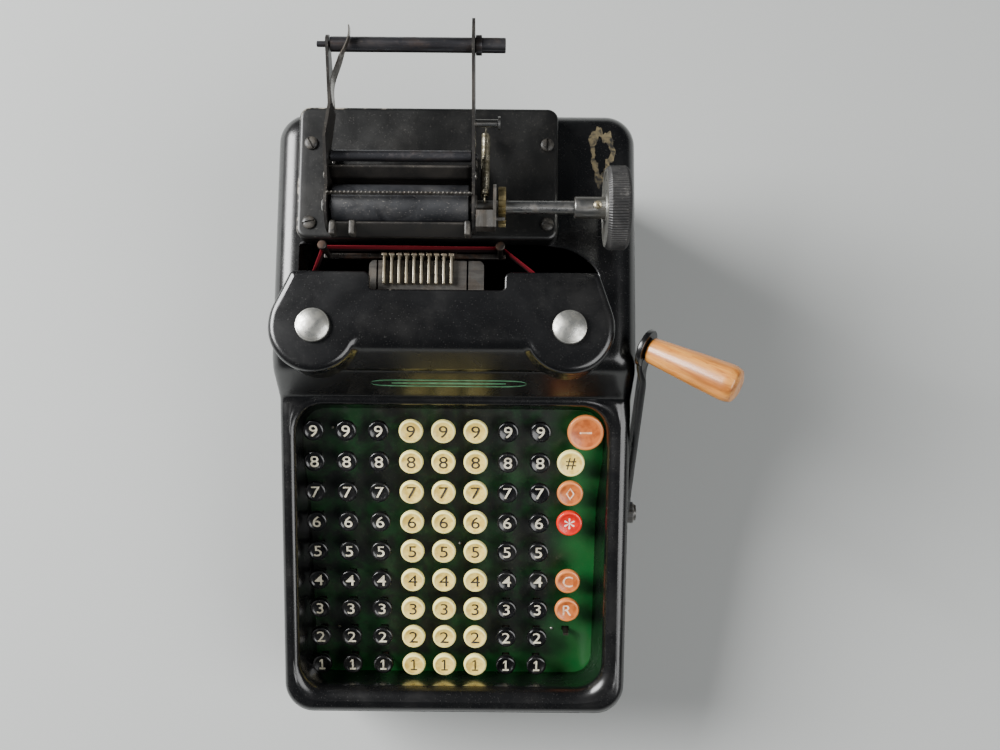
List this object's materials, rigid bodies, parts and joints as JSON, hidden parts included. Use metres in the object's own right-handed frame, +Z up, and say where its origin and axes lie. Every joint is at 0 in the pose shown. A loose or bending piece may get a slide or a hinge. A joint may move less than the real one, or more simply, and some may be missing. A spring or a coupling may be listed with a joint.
{
  "type": "mechanical adding machine",
  "caption": "Hand-cranked printing adding machine: black enamelled casing, sloping full keyboard, ribbon cover with round ears, paper carriage, side crank with a wooden grip.",
  "frame": {"origin": "on the table, below the middle of the whole machine, crank and paper arms included", "axes": "+X to the operator's right, where the crank is; +Y to the rear, along the machine's length; +Z up"},
  "size_m": [0.256, 0.363, 0.2425],
  "materials": {
    "black_enamel": "glossy",
    "satin_black": "satin",
    "green_enamel": "glossy",
    "black_key": "glossy",
    "cream_key": "glossy",
    "orange_key": "glossy",
    "red_key": "glossy",
    "nickel": "satin",
    "steel": "satin",
    "dark_steel": "aged",
    "type_metal": "satin",
    "brass": "satin",
    "foot_rubber": "matte",
    "platen_rubber": "satin",
    "ribbon_cloth": "woven",
    "knob_rubber": "satin",
    "grip_wood": "varnished",
    "spring_steel": "satin"
  },
  "bodies": {
    "frame": {"housing": "black_enamel", "base_plate": "satin_black", "feet": "foot_rubber", "case_screws": "dark_steel", "key_plate": "green_enamel", "stem_guide_plate": "steel", "side_frames": "dark_steel", "cross_rods": "steel", "type_block": "dark_steel", "fixed_studs": "steel", "carriage_bed": "satin_black", "left_carriage_plate": "dark_steel", "right_carriage_plate": "dark_steel", "paper_pan": "satin_black", "tear_bar": "steel", "paper_guide": "steel", "roll_brake_spring": "spring_steel", "ribbon_runs": "ribbon_cloth", "pawl_spring": "spring_steel", "crank_return_spring": "spring_steel"},
    "crank": {"main_shaft": "steel", "drive_cams": "steel", "crank_arm": "black_enamel", "crank_nut": "nickel", "grip_bolt": "nickel"},
    "grip": {"crank_grip": "grip_wood"},
    "platen_group": {"platen": "platen_rubber", "platen_shaft": "steel", "line_space_ratchet": "brass", "knob_hub": "steel", "knob_set_screw": "brass", "platen_knob": "knob_rubber"},
    "roll": {"roll_shaft": "dark_steel"},
    "roller": {"guide_roller": "steel"},
    "pawl": {"line_space_pawl": "steel"},
    "cover": {"spool_cover": "black_enamel"},
    "left_nut": {"left_thumb_nut": "nickel"},
    "right_nut": {"right_thumb_nut": "nickel"},
    "spool_left": {"left_spool": "steel"},
    "spool_right": {"right_spool": "steel"},
    "ribbon_yoke": {"ribbon_guides": "nickel", "ribbon_span": "ribbon_cloth"},
    "type_bar_set": {"type_bars": "type_metal"},
    "type_lever_set": {"type_levers": "steel"},
    "adding_wheel_set": {"adding_wheels": "brass"},
    "column_1": {"key_column_1": "black_key"},
    "column_2": {"key_column_2": "black_key"},
    "column_3": {"key_column_3": "black_key"},
    "column_4": {"key_column_4": "cream_key"},
    "column_5": {"key_column_5": "cream_key"},
    "column_6": {"key_column_6": "cream_key"},
    "column_7": {"key_column_7": "black_key"},
    "column_8": {"key_column_8": "black_key"},
    "minus": {"minus_key": "orange_key"},
    "number": {"number_key": "cream_key"},
    "subtotal": {"subtotal_key": "orange_key"},
    "total": {"total_key": "red_key"},
    "clear": {"clear_key": "orange_key"},
    "repeat": {"repeat_key": "orange_key"},
    "bare_stem": {"bare_key_stem": "steel"}
  },
  "joints": [
    {"name": "crank_pull", "type": "hinge", "parent": "frame", "child": "crank", "pos_m": [-0.02653, -0.0616, 0.06], "axis": [1, 0, 0], "range_deg": [0, 65], "stiffness_Nm_per_rad": 0.3, "springref_deg": -17.19, "deforming": ["crank_return_spring"]},
    {"name": "grip_spin", "type": "hinge", "parent": "crank", "child": "grip", "pos_m": [0.07842, 0.02764, 0.16787], "axis": [0.8339, -0.4253, 0.3518], "continuous": true},
    {"name": "platen_turn", "type": "hinge", "parent": "frame", "child": "platen_group", "pos_m": [-0.02653, 0.0975, 0.196], "axis": [1, 0, 0], "continuous": true},
    {"name": "roll_shaft_turn", "type": "hinge", "parent": "frame", "child": "roll", "pos_m": [-0.02653, 0.169, 0.234], "axis": [1, 0, 0], "continuous": true},
    {"name": "guide_roller_turn", "type": "hinge", "parent": "frame", "child": "roller", "pos_m": [-0.02653, 0.1223, 0.203], "axis": [1, 0, 0], "continuous": true},
    {"name": "pawl_lift", "type": "hinge", "parent": "frame", "child": "pawl", "pos_m": [-0.02653, 0.137, 0.212], "axis": [-1, 0, 0], "range_deg": [0, 5], "stiffness_Nm_per_rad": 0.05, "springref_deg": -28.65, "deforming": ["pawl_spring"]},
    {"name": "cover_lift", "type": "slide", "parent": "frame", "child": "cover", "axis": [0, 0, 1], "range_m": [0, 0.06]},
    {"name": "left_nut_turn", "type": "hinge", "parent": "cover", "child": "left_nut", "pos_m": [-0.10083, 0.0365, 0.182], "axis": [0, 0, 1], "continuous": true},
    {"name": "right_nut_turn", "type": "hinge", "parent": "cover", "child": "right_nut", "pos_m": [0.03607, 0.0365, 0.182], "axis": [0, 0, 1], "continuous": true},
    {"name": "left_spool_turn", "type": "hinge", "parent": "frame", "child": "spool_left", "pos_m": [-0.10083, 0.0365, 0.17], "axis": [0, 0, 1], "continuous": true},
    {"name": "right_spool_turn", "type": "hinge", "parent": "frame", "child": "spool_right", "pos_m": [0.03607, 0.0365, 0.17], "axis": [0, 0, 1], "continuous": true},
    {"name": "ribbon_lift", "type": "slide", "parent": "frame", "child": "ribbon_yoke", "axis": [0, 0, 1], "range_m": [0, 0.014], "deforming": ["ribbon_runs"]},
    {"name": "type_rise", "type": "slide", "parent": "frame", "child": "type_bar_set", "axis": [0, 0, 1], "range_m": [0, 0.028]},
    {"name": "lever_swing", "type": "hinge", "parent": "frame", "child": "type_lever_set", "pos_m": [-0.02653, 0.121, 0.125], "axis": [-1, 0, 0], "range_deg": [0, 32]},
    {"name": "adding_wheel_turn", "type": "hinge", "parent": "frame", "child": "adding_wheel_set", "pos_m": [-0.02653, 0.121, 0.0845], "axis": [1, 0, 0], "continuous": true},
    {"name": "column_1_press", "type": "slide", "parent": "frame", "child": "column_1", "axis": [0, 0.3714, -0.9285], "range_m": [0, 0.005], "stiffness_N_per_m": 200, "springref_m": -0.003},
    {"name": "column_2_press", "type": "slide", "parent": "frame", "child": "column_2", "axis": [0, 0.3714, -0.9285], "range_m": [0, 0.005], "stiffness_N_per_m": 200, "springref_m": -0.003},
    {"name": "column_3_press", "type": "slide", "parent": "frame", "child": "column_3", "axis": [0, 0.3714, -0.9285], "range_m": [0, 0.005], "stiffness_N_per_m": 200, "springref_m": -0.003},
    {"name": "column_4_press", "type": "slide", "parent": "frame", "child": "column_4", "axis": [0, 0.3714, -0.9285], "range_m": [0, 0.005], "stiffness_N_per_m": 200, "springref_m": -0.003},
    {"name": "column_5_press", "type": "slide", "parent": "frame", "child": "column_5", "axis": [0, 0.3714, -0.9285], "range_m": [0, 0.005], "stiffness_N_per_m": 200, "springref_m": -0.003},
    {"name": "column_6_press", "type": "slide", "parent": "frame", "child": "column_6", "axis": [0, 0.3714, -0.9285], "range_m": [0, 0.005], "stiffness_N_per_m": 200, "springref_m": -0.003},
    {"name": "column_7_press", "type": "slide", "parent": "frame", "child": "column_7", "axis": [0, 0.3714, -0.9285], "range_m": [0, 0.005], "stiffness_N_per_m": 200, "springref_m": -0.003},
    {"name": "column_8_press", "type": "slide", "parent": "frame", "child": "column_8", "axis": [0, 0.3714, -0.9285], "range_m": [0, 0.005], "stiffness_N_per_m": 200, "springref_m": -0.003},
    {"name": "minus_press", "type": "slide", "parent": "frame", "child": "minus", "axis": [0, 0.3714, -0.9285], "range_m": [0, 0.005], "stiffness_N_per_m": 100, "springref_m": -0.004},
    {"name": "number_press", "type": "slide", "parent": "frame", "child": "number", "axis": [0, 0.3714, -0.9285], "range_m": [0, 0.005], "stiffness_N_per_m": 100, "springref_m": -0.004},
    {"name": "subtotal_press", "type": "slide", "parent": "frame", "child": "subtotal", "axis": [0, 0.3714, -0.9285], "range_m": [0, 0.005], "stiffness_N_per_m": 100, "springref_m": -0.004},
    {"name": "total_press", "type": "slide", "parent": "frame", "child": "total", "axis": [0, 0.3714, -0.9285], "range_m": [0, 0.005], "stiffness_N_per_m": 100, "springref_m": -0.004},
    {"name": "clear_press", "type": "slide", "parent": "frame", "child": "clear", "axis": [0, 0.3714, -0.9285], "range_m": [0, 0.005], "stiffness_N_per_m": 100, "springref_m": -0.004},
    {"name": "repeat_press", "type": "slide", "parent": "frame", "child": "repeat", "axis": [0, 0.3714, -0.9285], "range_m": [0, 0.005], "stiffness_N_per_m": 100, "springref_m": -0.004},
    {"name": "bare_stem_press", "type": "slide", "parent": "frame", "child": "bare_stem", "axis": [0, 0.3714, -0.9285], "range_m": [0, 0.005], "stiffness_N_per_m": 100, "springref_m": -0.004}
  ],
  "couplings": [
    {"joint": "type_rise", "follows": "crank_pull", "m_per_rad": 0.02468},
    {"joint": "lever_swing", "follows": "crank_pull", "ratio": 0.492},
    {"joint": "ribbon_lift", "follows": "crank_pull", "m_per_rad": 0.01234},
    {"joint": "right_spool_turn", "follows": "left_spool_turn", "ratio": 1}
  ]
}
